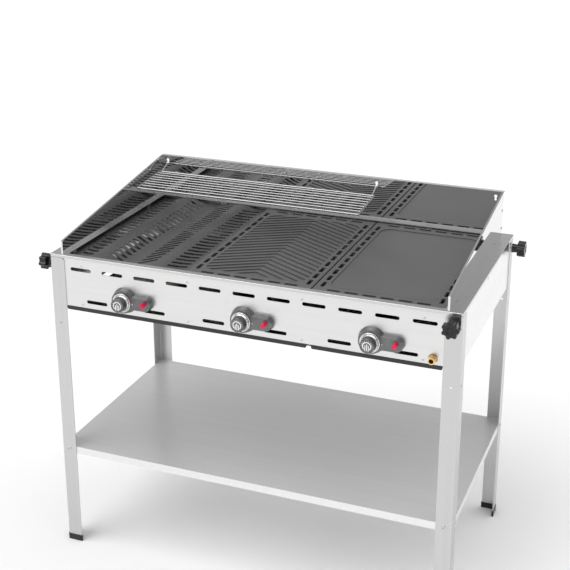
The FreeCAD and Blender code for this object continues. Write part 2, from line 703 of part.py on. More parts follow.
def ribbed_plate():
    """A plate with chevron ribs in a rounded field, pointing to the rear."""
    centre = 0.0
    base_top = INSERT_TOP - RIB_H
    plate = insert_blank(centre, INSERT_TOP, INSERT_T)
    field = plate_field(centre, base_top, INSERT_TOP + 1)
    plate = plate.cut([field] + edge_slots(centre))
    half_w = INSERT_W / 2
    ribs = []
    for k in range(int((INSERT_BACK - INSERT_FRONT + PATTERN_LEAN * half_w) / PATTERN_PITCH)):
        tip = INSERT_FRONT + k * PATTERN_PITCH
        foot = tip - PATTERN_LEAN * half_w
        corners = [(-half_w, foot - RIB_HALF), (0.0, tip - RIB_HALF), (half_w, foot - RIB_HALF),
                   (half_w, foot + RIB_HALF), (0.0, tip + RIB_HALF), (-half_w, foot + RIB_HALF)]
        ribs.append(prism([Vector(centre + x, y, base_top) for x, y in corners], UP * RIB_H))
    ribs = Part.makeCompound(ribs).common(field)
    return joined([plate, plate_skirt(centre)] + [rib for rib in ribs.Solids if rib.Volume > 5.0])


def wave_section(left, low):
    """The edges of one face of the wave grid: alternating arcs, left to right, between flat borders."""
    border = (INSERT_W - sum(WAVE_HALVES)) / 2
    knee = Vector(left + border, INSERT_FRONT, low)
    edges = [Part.LineSegment(Vector(left, INSERT_FRONT, low), knee).toShape()]
    flip = 1
    for width in WAVE_HALVES:
        radius = ((width / 2) ** 2 + (WAVE_RISE / 2) ** 2) / WAVE_RISE
        lean = math.asin(width / 2 / radius)
        sag = radius * (1 - math.cos(lean / 2))
        run = radius * math.sin(lean / 2)
        middle = knee + Vector(width / 2, 0, flip * WAVE_RISE / 2)
        end = knee + Vector(width, 0, flip * WAVE_RISE)
        edges.append(Part.Arc(knee, knee + Vector(run, 0, flip * sag), middle).toShape())
        edges.append(Part.Arc(middle, end - Vector(run, 0, flip * sag), end).toShape())
        knee = end
        flip = -flip
    edges.append(Part.LineSegment(knee, Vector(left + INSERT_W, INSERT_FRONT, low)).toShape())
    return edges


def wave_grid():
    """A pressed corrugated sheet with slanting slots on its slopes and a row of small holes at its left."""
    centre = -INSERT_PITCH
    thickness = 2.0
    hole_r = 2.6
    low = SUPPORT_TOP
    left = centre - INSERT_W / 2
    ends = [Part.LineSegment(Vector(x, INSERT_FRONT, low), Vector(x, INSERT_FRONT, low + thickness)).toShape()
            for x in (left, left + INSERT_W)]
    edges = wave_section(left, low) + wave_section(left, low + thickness) + ends
    sheet = Part.Face(Part.Wire(Part.__sortEdges__(edges))).extrude(Vector(0, INSERT_BACK - INSERT_FRONT, 0))
    turn = math.degrees(math.atan(PATTERN_LEAN))
    rows = int((INSERT_BACK - INSERT_FRONT - 2 * EDGE_SLOT_L) / PATTERN_PITCH) + 1
    cuts = []
    for row in range(rows):
        y = INSERT_MID + (row - (rows - 1) / 2.0) * PATTERN_PITCH
        cuts.append(rod(hole_r, Vector(left + 7, y, low - 5), Vector(left + 7, y, low + 20)))
        for x in WAVE_SLOT_X:
            slot = slot_through_z(centre + x, y, WAVE_SLOT_L / math.cos(math.radians(turn)), WAVE_SLOT_W,
                                  low - 5, low + 20)
            slot.rotate(Vector(centre + x, y, 0), UP, math.copysign(turn, x))
            cuts.append(slot)
    return sheet.cut(cuts)


# Drip pans ------------------------------------------------------------------------------------------

def pan_carrier(name):
    """A flat frame with a black front strip, which slides on the runners and holds a pan by its rim."""
    x0, x1 = CARRIERS[name]
    top = LIP_Z - CARRIER_DROP
    band = 16.0
    plate = box(x0, x1, CARRIER_FRONT, CARRIER_BACK, top - SHEET, top)
    inside = box(x0 + band, x1 - band, CARRIER_FRONT + 45, CARRIER_BACK - band, top - 5, top + 5)
    inside = rounded(inside, 12.0, lambda e: along(e, UP))
    strip = box(x0, x1, CARRIER_FRONT, CARRIER_FRONT + SHEET, LIP_Z - STRIP_DROP, LIP_Z - PANEL_H - GAP)
    strip = rounded(strip, 4.0, lambda e: along(e, IN) and e.CenterOfMass.z < LIP_Z - STRIP_DROP + 1)
    return joined([plate.cut(inside), strip])


def drip_pan(name):
    """A pressed pan with round corners and a flat rim that rests on the carrier."""
    x0, x1 = CARRIERS[name]
    top = LIP_Z - CARRIER_DROP + 1.2
    rim = 10.0
    inset = 17.0
    wall = 1.2
    low = top - PAN_DEPTH
    flange = box(x0 + rim, x1 - rim, PAN_FRONT, PAN_BACK - 4, top - wall, top)
    flange = rounded(flange, 14.0, lambda e: along(e, UP))

    def bowl(shrink, bottom, height):
        shape = box(x0 + inset + shrink, x1 - inset - shrink, CARRIER_FRONT + 46 + shrink,
                    CARRIER_BACK - inset - shrink, bottom, height)
        shape = rounded(shape, 14.0 - shrink, lambda e: along(e, UP))
        return rounded(shape, 13.0 - shrink, lambda e: e.BoundBox.ZMax < bottom + 0.01)

    return joined([flange, bowl(0, low, top)]).cut(bowl(wall, low + wall, top + 5))


def pan_runners():
    """Rails below the tub: an angle at each end and a T between the two pans."""
    ledge_top = LIP_Z - CARRIER_DROP - SHEET - RAIL_GAP
    y0 = FRONT + LEG_T + SHEET + 1
    y1 = BACK - LEG_T - SHEET - 1
    roof = LIP_Z - PANEL_H
    rails = []
    for side in (-1, 1):
        w0, w1 = sorted((side * (484.0 + RAIL_GAP), side * (484.0 + RAIL_GAP + SHEET)))
        l0, l1 = sorted((side * 472.0, side * (484.0 + RAIL_GAP + SHEET)))
        rails.append(joined([box(w0, w1, y0, y1, ledge_top - SHEET, roof),
                             box(l0, l1, y0, y1, ledge_top - SHEET, ledge_top)]))
    middle = (CARRIERS["double"][1] + CARRIERS["single"][0]) / 2
    rails.append(joined([box(middle - SHEET, middle + SHEET, y0, y1, ledge_top - SHEET, roof),
                         box(middle - 16, middle + 16, y0, y1, ledge_top - SHEET, ledge_top)]))
    return rails


# Controls -------------------------------------------------------------------------------------------

def control_bezel(x):
    """A teardrop surround: a tapered disc for the knob, with a round-ended tab for the button."""
    base = control_centre(x, FRONT + LEG_T)
    face = control_centre(x, FRONT - BEZEL_OUT)
    disc = tapered(BEZEL_BASE_R, BEZEL_FACE_R, base, face)
    end_base = base + Vector(BUTTON_X, 0, 0)
    end_face = face + Vector(BUTTON_X, 0, 0)
    tab_end = tapered(TAB_R + 1, TAB_R - 1, end_base, end_face)
    outline = [base + UP * (TAB_R + 1), face + UP * (TAB_R - 1),
               face - UP * (TAB_R - 1), base - UP * (TAB_R + 1)]
    bridge = prism(outline, Vector(BUTTON_X, 0, 0))
    body = joined([disc, bridge, tab_end])
    recess = rod(RING_R + 0.5, face + IN * RING_RECESS, face + OUT)
    spindle_hole = rod(8.5, base + IN, face)
    button_hole = rod(BUTTON_R + GAP, button_centre(x, FRONT + 5), button_centre(x, FRONT - 30))
    return body.cut([recess, spindle_hole, button_hole])


def knob_ring(x):
    back = control_centre(x, FRONT - BEZEL_OUT + RING_RECESS - KNOB_TRAVEL - 1.9)
    front = back + OUT * (RING_T + 2)
    ring = rod(RING_R, back, front)
    ring = rounded(ring, 0.8, lambda e: e.CenterOfMass.y < front.y + 0.1 and e.Length > 20)
    return ring.cut(rod(KNOB_BACK_R - 6, back + IN, front + OUT))


def ring_front():
    return FRONT - BEZEL_OUT + RING_RECESS - KNOB_TRAVEL - 1.9 - RING_T - 2


def knob(x):
    """A turned grip with a bore for the valve's spindle."""
    back = control_centre(x, ring_front())
    front = control_centre(x, FRONT - KNOB_OUT)
    grip = tapered(KNOB_BACK_R, KNOB_FRONT_R, back, front)
    grip = rounded(grip, 2.0, lambda e: e.CenterOfMass.y < front.y + 0.1 and e.Length > 20)
    return grip.cut(rod(SPINDLE_R, back + IN, back + OUT * 14))


def spindle(x):
    """The valve's spindle, from the knob's bore into the valve."""
    return rod(SPINDLE_R, control_centre(x, ring_front() - 14), control_centre(x, FRONT + 26))


def spring_seat(x):
    """The washer on the spindle that the valve's return spring pushes on."""
    start = control_centre(x, FRONT + 6)
    return rod(8.0, start, start + IN * 2).cut(rod(SPINDLE_R + 0.2, start, start + IN * 2))


def gas_valve(x):
    """A valve body on the manifold, with its spindle bore in front and its injector behind."""
    y0 = FRONT + 13
    y1 = FRONT + 46
    body = box(x - 16, x + 16, y0, y1, LIP_Z - MANIFOLD_DROP + MANIFOLD_R, LIP_Z - CONTROL_DROP + 14)
    body = rounded(body, 3.0, lambda e: along(e, IN))
    nose = tapered(7.0, 4.5, control_centre(x, y1), control_centre(x, y1 + 16))
    bore = rod(SPINDLE_R + GAP, control_centre(x, y0 - 1), control_centre(x, FRONT + 34))
    return joined([body, nose]).cut(bore)


def igniter_body(x):
    """The piezo igniter behind the panel, with a bore for its button."""
    start = button_centre(x, FRONT + LEG_T + SHEET)
    barrel = rod(9.0, start, start + IN * 42)
    bore = rod(BUTTON_R + GAP, start - IN, start + IN * (BUTTON_TRAVEL + 8))
    return barrel.cut(bore)


def igniter_button(x):
    """A push button with a domed end and a long stem."""
    stem = rod(BUTTON_R, button_centre(x, FRONT - BUTTON_OUT), button_centre(x, FRONT + LEG_T + SHEET + 6))
    return rounded(stem, 1.6, lambda e: e.CenterOfMass.y < FRONT - BUTTON_OUT + 0.1 and e.Length > 20)


# Gas line and burners -------------------------------------------------------------------------------

def manifold():
    z = LIP_Z - MANIFOLD_DROP
    start = Vector(BURNER_X[0] - 30, MANIFOLD_Y, z)
    end = Vector(INLET_X - 13, MANIFOLD_Y, z)
    bore = rod(MANIFOLD_R - 2, start + RIGHT * 5, end)
    return rod(MANIFOLD_R, start, end).cut(bore)


def gas_inlet():
    """A brass elbow on the manifold, with its threaded nipple through the front panel."""
    z = LIP_Z - MANIFOLD_DROP
    block = box(INLET_X - 13, INLET_X + 13, MANIFOLD_Y - 12, MANIFOLD_Y + 12, z - 13, z + 13)
    block = rounded(block, 3.0, lambda e: along(e, UP))
    collar = rod(INLET_COLLAR_R, Vector(INLET_X, MANIFOLD_Y - 12, z),
                 Vector(INLET_X, FRONT - INLET_COLLAR_OUT, z))
    nipple = rod(INLET_R, Vector(INLET_X, MANIFOLD_Y - 12, z), Vector(INLET_X, FRONT - INLET_OUT, z))
    bore = rod(5.5, Vector(INLET_X, MANIFOLD_Y, z), Vector(INLET_X, FRONT - INLET_OUT - 1, z))
    branch = rod(MANIFOLD_R - 2, Vector(INLET_X - 14, MANIFOLD_Y, z), Vector(INLET_X, MANIFOLD_Y, z))
    return joined([block, collar, nipple]).cut([bore, branch])


def burner_tubes(x, radius, inlet_start):
    """The burner's loop of tube and its narrower inlet, as one solid of the given tube radius."""
    z = LIP_Z - CONTROL_DROP
    pieces = [rod(radius - INLET_STEP, Vector(x, inlet_start, z), Vector(x, HEADER_Y, z))]
    for y in (HEADER_Y, TUBE_BACK):
        pieces.append(rod(radius, Vector(x - TUBE_X + TUBE_BEND, y, z),
                          Vector(x + TUBE_X - TUBE_BEND, y, z)))
    for side in (-1, 1):
        tube_x = x + side * TUBE_X
        pieces.append(rod(radius, Vector(tube_x, HEADER_Y + TUBE_BEND, z),
                          Vector(tube_x, TUBE_BACK - TUBE_BEND, z)))
        for y, way in ((HEADER_Y + TUBE_BEND, -1), (TUBE_BACK - TUBE_BEND, 1)):
            section = Part.Face(Part.Wire(Part.Circle(Vector(tube_x, y, z), IN, radius).toShape()))
            centre = Vector(tube_x - side * TUBE_BEND, y, z)
            pieces.append(section.revolve(centre, UP * (side * way), 90))
    return joined(pieces)


def burner(x):
    """A closed loop of tube with gas ports along its long runs and an open inlet."""
    z = LIP_Z - CONTROL_DROP
    inside = burner_tubes(x, TUBE_R - TUBE_WALL, TUBE_FRONT - 1)
    ports = []
    for side in (-1, 1):
        for k in range(PORTS):
            y = HEADER_Y + TUBE_BEND + 10 + k * PORT_PITCH
            centre = Vector(x + side * TUBE_X, y, z)
            ports.append(rod(1.5, centre, centre + Vector(side * 10, 0, 17)))
    return burner_tubes(x, TUBE_R, TUBE_FRONT).cut([inside] + ports)


def burner_rails():
    """Two cross rails in the tub that carry the burners."""
    x1 = HALF - LEG_T - SHEET
    top = LIP_Z - CONTROL_DROP - TUBE_R
    rails = []
    for y in (HEADER_Y + 16, TUBE_BACK - 30):
        rails.append(joined([box(-x1, x1, y, y + 16, top - SHEET, top),
                             box(-x1, x1, y, y + SHEET, top - 10, top)]))
    return rails


def flame_spreader(x):
    """A folded roof over one run of burner tube, on two end feet."""
    half_w = 32.0
    rise = 16.0
    z0 = LIP_Z - CONTROL_DROP + 26
    y0 = HEADER_Y + 10
    y1 = TUBE_BACK - 20
    outline = [(-half_w, 0), (0, rise), (half_w, 0), (half_w - 2.5, 0), (0, rise - 2), (-half_w + 2.5, 0)]
    roof = prism([Vector(x + dx, y0, z0 + dz) for dx, dz in outline], IN * (y1 - y0))
    feet = []
    tube_z = LIP_Z - CONTROL_DROP
    for y in (y0 + 20, y1 - 22):
        foot = prism([Vector(x - 14, y, tube_z), Vector(x + 14, y, tube_z), Vector(x + 14, y, z0 + 7),
                      Vector(x, y, z0 + rise - 1), Vector(x - 14, y, z0 + 7)], IN * 2)
        feet.append(foot.cut(rod(TUBE_R, Vector(x, y0, tube_z), Vector(x, y1, tube_z))))
    return joined([roof] + feet)


def ignition_electrode(x):
    """A ceramic electrode beside the burner's header, on its bracket, with its bare tip."""
    z = LIP_Z - CONTROL_DROP + TUBE_R
    y = HEADER_Y - 20
    bracket = box(x + 24, x + 44, HEADER_Y - 6, HEADER_Y + 6, z, z + 1.5)
    ear = box(x + 24, x + 44, HEADER_Y - 6, HEADER_Y - 4, z, z + 14)
    ceramic = rod(3.2, Vector(x + 34, y, z + 8), Vector(x + 34, y + 44, z + 8))
    tip = rod(1.0, Vector(x + 34, y + 44, z + 8), Vector(x + 34, y + 58, z + 8))
    return joined([bracket, ear, ceramic, tip])


# Writing the pieces ---------------------------------------------------------------------------------

def save(name, pieces):
    """Write one node: a single solid, or a group of separate identical ones."""
    shapes = pieces if isinstance(pieces, list) else [pieces]
    solids = [solid for shape in shapes for solid in shape.Solids]
    if len(solids) != len(shapes) or not all(solid.isValid() for solid in solids):
        raise SystemExit(name + " is not one sound solid for each piece")
    whole = solids[0] if len(solids) == 1 else Part.makeCompound(solids)
    whole.exportStep("parts/" + name + ".step")
    print(name, len(solids), round(whole.Volume))


def main():
    os.makedirs("parts", exist_ok=True)
    save("front_panel", front_panel())
    save("rear_panel", rear_panel())
    save("side_panel_left", side_panel(-1))
    save("side_panel_right", side_panel(1))
    save("top_frame", top_frame())
    save("insert_supports", insert_supports())
    save("panel_rivets", panel_rivets())
    for name, side, end, direction in STARS:
        save("leg_" + name, leg(side, end))
        save("star_knob_" + name, star_knob(side, end, direction))
        save("star_washer_" + name, star_washer(side, end, direction))
    save("star_nuts", star_nuts())
    save("leg_shoes", leg_shoes())
    save("shelf", shelf())
    save("shelf_bolts", shelf_bolts())
    save("wind_guard_left", guard_side(-1))
    save("wind_guard_right", guard_side(1))
    save("wind_guard_back", guard_back())
    save("wind_guard_screws", guard_screws())
    save("warming_rack", warming_rack())
    save("wave_grid", wave_grid())
    save("ribbed_plate", ribbed_plate())
    save("griddle_plate", griddle_plate())
    for name in CARRIERS:
        save("pan_carrier_" + name, pan_carrier(name))
        save("drip_pan_" + name, drip_pan(name))
    save("pan_runners", pan_runners())
    for name, x in zip(SIDES, BURNER_X):
        save("control_knob_" + name, knob(x))
        save("knob_ring_" + name, knob_ring(x))
        save("valve_spindle_" + name, spindle(x))
        save("spring_seat_" + name, spring_seat(x))
        save("igniter_button_" + name, igniter_button(x))
    save("control_bezels", [control_bezel(x) for x in BURNER_X])
    save("igniter_bodies", [igniter_body(x) for x in BURNER_X])
    save("gas_valves", [gas_valve(x) for x in BURNER_X])
    save("gas_manifold", manifold())
    save("gas_inlet", gas_inlet())
    save("burners", [burner(x) for x in BURNER_X])
    save("burner_rails", burner_rails())
    save("flame_spreaders", [flame_spreader(x + s * TUBE_X) for x in BURNER_X for s in (-1, 1)])
    save("ignition_electrodes", [ignition_electrode(x) for x in BURNER_X])


main()
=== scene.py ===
"""The looks of a free-standing three-burner gas charbroiler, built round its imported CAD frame.

Everything is in metres in the CAD's own frame: +Z up, and the cook stands on the -Y side.
"""

import math

import bmesh
import bpy
from mathutils import Matrix, Vector


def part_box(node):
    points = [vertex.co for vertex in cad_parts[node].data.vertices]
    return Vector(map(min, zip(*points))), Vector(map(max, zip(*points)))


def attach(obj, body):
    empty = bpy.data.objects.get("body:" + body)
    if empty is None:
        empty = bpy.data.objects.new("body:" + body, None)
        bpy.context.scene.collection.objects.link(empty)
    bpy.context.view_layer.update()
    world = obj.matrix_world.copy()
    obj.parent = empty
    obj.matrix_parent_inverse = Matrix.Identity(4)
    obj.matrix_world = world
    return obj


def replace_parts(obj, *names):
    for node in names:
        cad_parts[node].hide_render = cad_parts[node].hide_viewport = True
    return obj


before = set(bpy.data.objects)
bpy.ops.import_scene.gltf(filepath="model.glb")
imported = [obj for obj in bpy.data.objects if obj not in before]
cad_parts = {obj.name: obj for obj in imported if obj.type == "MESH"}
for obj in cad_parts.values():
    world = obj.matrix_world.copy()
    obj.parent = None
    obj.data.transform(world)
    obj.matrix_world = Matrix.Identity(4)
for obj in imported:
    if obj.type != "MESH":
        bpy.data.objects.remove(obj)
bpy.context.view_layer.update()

MM = 0.001
OUT = Vector((0, -1, 0))       # from the front panel towards the cook
UP = Vector((0, 0, 1))
RIGHT = Vector((1, 0, 0))
SIDES = ("left", "middle", "right")
STAR_WAYS = {"front_right": OUT, "front_left": -RIGHT, "rear_right": RIGHT, "rear_left": -OUT}


# Materials ------------------------------------------------------------------------------------------

class Finish:
    """A Principled material whose procedural layers are wired one at a time."""

    def __init__(self, name, metallic=0.0, **sockets):
        self.material = bpy.data.materials.new(name)
        self.material.use_nodes = True
        self.tree = self.material.node_tree
        self.shader = self.tree.nodes["Principled BSDF"]
        self.shader.inputs["Metallic"].default_value = metallic
        for socket, value in sockets.items():
            self.shader.inputs[socket.replace("_", " ")].default_value = value
        self.place = self.tree.nodes.new("ShaderNodeTexCoord").outputs["Object"]
        self.normal = None

    def node(self, kind, inputs, **settings):
        made = self.tree.nodes.new("ShaderNode" + kind)
        for key, value in settings.items():
            setattr(made, key, value)
        for key, value in inputs.items():
            if isinstance(value, bpy.types.NodeSocket):
                self.tree.links.new(value, made.inputs[key])
            else:
                made.inputs[key].default_value = value
        return made

    def stretched(self, stretch, turn=0.0):
        """Object coordinates scaled for each axis, after a turn about each axis."""
        turned_place = self.node("Mapping", {"Vector": self.place, "Rotation": (turn, turn, turn)})
        scaled = self.node("Mapping", {"Vector": turned_place.outputs["Vector"], "Scale": stretch})
        return scaled.outputs["Vector"]

    def noise(self, stretch, detail=2.0, turn=0.0):
        inputs = {"Vector": self.stretched(stretch, turn), "Scale": 1.0, "Detail": detail}
        return self.node("TexNoise", inputs).outputs["Fac"]

    def cells(self, scale, output="Distance"):
        inputs = {"Vector": self.place, "Scale": scale}
        return self.node("TexVoronoi", inputs).outputs[output]

    def spread(self, value, low, high, to_low, to_high):
        """Map low..high to to_low..to_high, and clamp."""
        inputs = {"Value": value, "From Min": low, "From Max": high,
                  "To Min": to_low, "To Max": to_high}
        return self.node("MapRange", inputs).outputs["Result"]

    def maths(self, operation, first, second):
        return self.node("Math", {0: first, 1: second}, operation=operation).outputs[0]

    def shades(self, factor, *stops):
        """A colour ramp with stops of a place and a colour."""
        ramp = self.node("ValToRGB", {"Fac": factor})
        elements = ramp.color_ramp.elements
        for spare in range(len(stops) - 2):
            elements.new(0.5)
        for element, (place, colour) in zip(elements, stops):
            element.position = place
            element.color = (*colour, 1.0)
        return ramp.outputs["Color"]

    def paint(self, colour):
        self.tree.links.new(colour, self.shader.inputs["Base Color"])

    def gloss(self, roughness):
        self.tree.links.new(roughness, self.shader.inputs["Roughness"])

    def bump(self, height, distance, strength=1.0):
        inputs = {"Height": height, "Distance": distance, "Strength": strength}
        if self.normal:
            inputs["Normal"] = self.normal
        self.normal = self.node("Bump", inputs).outputs["Normal"]
        self.tree.links.new(self.normal, self.shader.inputs["Normal"])


def grey(value, warm=0.0):
    """A neutral colour, a little warmer where warm is above zero."""
    return (value * (1 + warm), value, value * (1 - warm))


def scratches(finish, density, along, amount):
    """Hairline marks, thin in one direction and broken up, as a value from 0 to amount."""
    stretch = [density * 0.04 if axis == along else density for axis in "XYZ"]
    lines = finish.noise(stretch, detail=0.0, turn=0.12)
    patches = finish.noise((9.0, 9.0, 9.0), detail=1.0)
    thin = finish.spread(lines, 0.70, 0.76, 0.0, amount)
    return finish.maths("MULTIPLY", thin, finish.spread(patches, 0.45, 0.62, 0.0, 1.0))


def brushed(name, value, along, roughness, grain=1.0, metallic=1.0):
    """Sheet steel brushed along one axis, with handling marks and hairline scratches."""
    finish = Finish(name, metallic=metallic)
    fine = finish.noise([14.0 if axis == along else 1900.0 for axis in "XYZ"], detail=2.0)
    streak = finish.noise([1.2 if axis == along else 85.0 for axis in "XYZ"], detail=3.0)
    smudge = finish.noise((5.0, 5.0, 5.0), detail=3.0)
    marks = scratches(finish, 420.0, along, 0.12)
    tone = finish.maths("MULTIPLY", finish.spread(streak, 0.3, 0.7, 0.0, 1.0),
                        finish.spread(fine, 0.2, 0.8, 0.75, 1.0))
    finish.paint(finish.shades(tone, (0.0, grey(value * 0.975, 0.003)), (1.0, grey(value * 1.015))))
    rough = finish.spread(smudge, 0.35, 0.7, roughness * 0.93, roughness * 1.08)
    rough = finish.maths("ADD", rough, finish.spread(fine, 0.3, 0.7, 0.0, 0.05 * grain))
    finish.gloss(finish.maths("ADD", rough, marks))
    finish.bump(fine, 0.03 * MM, 0.35 * grain)
    finish.bump(marks, 0.10 * MM, 0.25)
    return finish.material


def mirror(name, value, roughness, ripple):
    """Bright-annealed sheet: sharp reflections that wander a little, faint smears and hairlines."""
    finish = Finish(name, metallic=1.0)
    smear = finish.noise((7.0, 11.0, 16.0), detail=4.0)
    dust = finish.cells(520.0)
    marks = scratches(finish, 600.0, "X", 0.10)
    finish.paint(finish.shades(smear, (0.3, grey(value * 0.96, 0.003)), (0.7, grey(value))))
    rough = finish.spread(smear, 0.35, 0.75, roughness * 0.75, roughness * 1.5)
    rough = finish.maths("ADD", rough, finish.spread(dust, 0.05, 0.14, 0.03, 0.0))
    finish.gloss(finish.maths("ADD", rough, marks))
    finish.bump(finish.noise((9.0, 9.0, 9.0), detail=1.0), ripple)
    finish.bump(marks, 0.08 * MM, 0.2)
    return finish.material


def plated(name, value, roughness, warm=0.0):
    """Chromed or zinc-plated small parts: bright, with pits and slightly dull patches."""
    finish = Finish(name, metallic=1.0)
    patches = finish.noise((90.0, 90.0, 90.0), detail=3.0)
    pits = finish.cells(1500.0)
    finish.paint(finish.shades(patches, (0.3, grey(value * 0.88, warm)), (0.7, grey(value, warm))))
    finish.gloss(finish.spread(patches, 0.3, 0.75, roughness * 0.7, roughness * 1.5))
    finish.bump(finish.spread(pits, 0.0, 0.3, 0.0, 1.0), 0.02 * MM, 0.5)
    return finish.material


def spangled(name, value, roughness):
    """Hot-dip zinc with its crystal pattern."""
    finish = Finish(name, metallic=1.0)
    flakes = finish.cells(95.0, "Color")
    flake = finish.node("RGBToBW", {"Color": flakes}).outputs["Val"]
    haze = finish.noise((30.0, 30.0, 30.0), detail=3.0)
    dull, bright = grey(value * 0.78, -0.01), grey(value * 1.06, -0.01)
    finish.paint(finish.shades(flake, (0.15, dull), (0.9, bright)))
    finish.gloss(finish.maths("ADD", finish.spread(flake, 0.0, 1.0, roughness * 0.8, roughness * 1.2),
                              finish.spread(haze, 0.4, 0.7, 0.0, 0.12)))
    finish.bump(flake, 0.02 * MM, 0.4)
    return finish.material


def enamel(name, value, roughness, fleck):
    """Vitreous enamel on iron: a fine orange peel, with paler flecks and dull patches."""
    finish = Finish(name, Specular_IOR_Level=0.6)
    peel = finish.noise((420.0, 420.0, 420.0), detail=2.0)
    grit = finish.cells(1300.0)
    clouds = finish.noise((6.0, 6.0, 6.0), detail=4.0)
    specks = finish.spread(grit, 0.06, 0.16, fleck, 0.0)
    tone = finish.maths("ADD", finish.spread(clouds, 0.3, 0.7, 0.2, 0.7), specks)
    finish.paint(finish.shades(tone, (0.0, grey(value * 0.8)), (1.0, grey(value * 1.35, -0.01))))
    rough = finish.spread(clouds, 0.35, 0.7, roughness * 0.9, roughness * 1.12)
    finish.gloss(finish.maths("ADD", rough, finish.spread(peel, 0.3, 0.7, -0.03, 0.05)))
    finish.bump(peel, 0.10 * MM, 0.5)
    finish.bump(finish.spread(grit, 0.0, 0.25, 0.0, 1.0), 0.03 * MM, 0.4)
    return finish.material


def plastic(name, colour, roughness, grain=900.0, metallic=0.0):
    """Moulded plastic with a spark-eroded grain and faint scuffs."""
    finish = Finish(name, metallic=metallic)
    texture = finish.noise((grain, grain, grain), detail=2.0)
    wear = finish.noise((60.0, 60.0, 60.0), detail=4.0)
    dark = tuple(channel * 0.82 for channel in colour)
    light = tuple(min(channel * 1.25, 1.0) for channel in colour)
    finish.paint(finish.shades(wear, (0.25, dark), (0.5, colour), (0.8, light)))
    finish.gloss(finish.maths("ADD", finish.spread(wear, 0.3, 0.75, roughness * 0.85, roughness * 1.2),
                              finish.spread(texture, 0.3, 0.7, -0.03, 0.05)))
    finish.bump(texture, 0.05 * MM, 0.35)
    return finish.material


def heated(name, value, roughness):
    """Steel that has been hot: straw, brown and blue tints in soft bands."""
    finish = Finish(name, metallic=1.0)
    bands = finish.noise((7.0, 4.0, 10.0), detail=3.0)
    soot = finish.noise((55.0, 55.0, 55.0), detail=4.0)
    straw = (value, value * 0.88, value * 0.68)
    brown = (value * 0.72, value * 0.62, value * 0.66)
    blue = grey(value * 0.7, -0.1)
    finish.paint(finish.shades(bands, (0.25, grey(value)), (0.48, straw), (0.62, brown), (0.8, blue)))
    finish.gloss(finish.spread(soot, 0.3, 0.75, roughness * 0.8, roughness * 1.5))
    finish.bump(soot, 0.05 * MM, 0.4)
    return finish.material


def cast_brass(name):
    """Machined brass with turning marks and a little tarnish."""
    finish = Finish(name, metallic=1.0)
    turning = finish.noise((30.0, 2600.0, 30.0), detail=1.0)
    tarnish = finish.noise((120.0, 120.0, 120.0), detail=4.0)
    finish.paint(finish.shades(tarnish, (0.3, (0.86, 0.62, 0.30)), (0.62, (0.78, 0.53, 0.24)),
                               (0.85, (0.46, 0.31, 0.16))))
    finish.gloss(finish.maths("ADD", finish.spread(tarnish, 0.3, 0.8, 0.18, 0.4),
                              finish.spread(turning, 0.3, 0.7, 0.0, 0.08)))
    finish.bump(turning, 0.02 * MM, 0.5)
    return finish.material


def porcelain(name):
    """Glazed ceramic with a faint crackle."""
    finish = Finish(name, Coat_Weight=0.4, Coat_Roughness=0.08)
    stain = finish.noise((160.0, 160.0, 160.0), detail=3.0)
    finish.paint(finish.shades(stain, (0.3, (0.82, 0.80, 0.75)), (0.8, (0.66, 0.62, 0.54))))
    finish.gloss(finish.spread(stain, 0.3, 0.7, 0.2, 0.42))
    finish.bump(finish.cells(700.0), 0.02 * MM, 0.3)
    return finish.material


def pale_ground(name):
    finish = Finish(name)
    clouds = finish.noise((1.5, 1.5, 1.5), detail=3.0)
    finish.paint(finish.shades(clouds, (0.2, grey(0.965)), (0.8, grey(0.98))))
    finish.gloss(finish.spread(clouds, 0.3, 0.7, 0.65, 0.75))
    finish.bump(finish.noise((60.0, 60.0, 60.0)), 0.1 * MM, 0.2)
    return finish.material


MATERIALS = {
    "brushed_panel": brushed("panel_brushed", 0.74, "X", 0.30),
    "polished_side": brushed("side_brushed", 0.84, "Y", 0.26),
    # rim_steel: painted darker than the panel's steel, a painted shade for the darker surroundings the
    # rim reflects
    "rim_steel": brushed("rim_painted_shade", 0.62, "X", 0.22, grain=0.3),
    "leg_steel": brushed("leg_brushed", 0.60, "Z", 0.28),
    # shelf_steel: painted paler and partly diffuse so that the suns light it, a painted light for the
    # bright surroundings the shelf reflects
    "shelf_steel": brushed("shelf_painted_light", 0.84, "X", 0.30, grain=0.3, metallic=0.6),
    # pan_steel: painted darker than the other steel, a painted shade for the shadow under the body
    "pan_steel": brushed("pan_painted_shade", 0.46, "X", 0.26, grain=0.4),
    "mirror_steel": mirror("guard_mirror", 0.78, 0.02, 0.05 * MM),
    "chrome_wire": plated("wire_chrome", 0.42, 0.2),
    "ring_silver": plated("ring_satin", 0.88, 0.22),
    "fastener_steel": plated("fastener_stainless", 0.66, 0.24),
    "zinc_washer": plated("washer_zinc", 0.62, 0.3, 0.02),
    "galvanised": spangled("zinc_sheet", 0.32, 0.42),
    "pipe_steel": spangled("pipe_zinc", 0.5, 0.34),
    "black_enamel": enamel("plate_enamel", 0.085, 0.33, 0.2),
    "grid_steel": enamel("grid_enamel", 0.055, 0.30, 0.15),
    "carrier_black": enamel("carrier_enamel", 0.008, 0.3, 0.1),
    "black_plastic": plastic("star_plastic", grey(0.006), 0.2),
    "knob_grey": plastic("knob_gunmetal", grey(0.15, -0.01), 0.28, 1400.0, 0.85),
    "bezel_grey": plastic("bezel_gunmetal", grey(0.17, -0.01), 0.36, 1200.0, 0.8),
    "button_red": plastic("button_red", (0.75, 0.0, 0.06), 0.28),
    "igniter_black": plastic("igniter_plastic", grey(0.03), 0.45),
    "brass": cast_brass("inlet_brass"),
    "burner_steel": heated("burner_tinted", 0.25, 0.4),
    "ceramic": porcelain("electrode_ceramic"),
}
WHITE_PAINT = plastic("white_paint", grey(0.85), 0.4)


def finish_frame():
    """Give every CAD node the material of its slot."""
    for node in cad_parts.values():
        for slot in node.material_slots:
            slot.material = MATERIALS[slot.material.name]


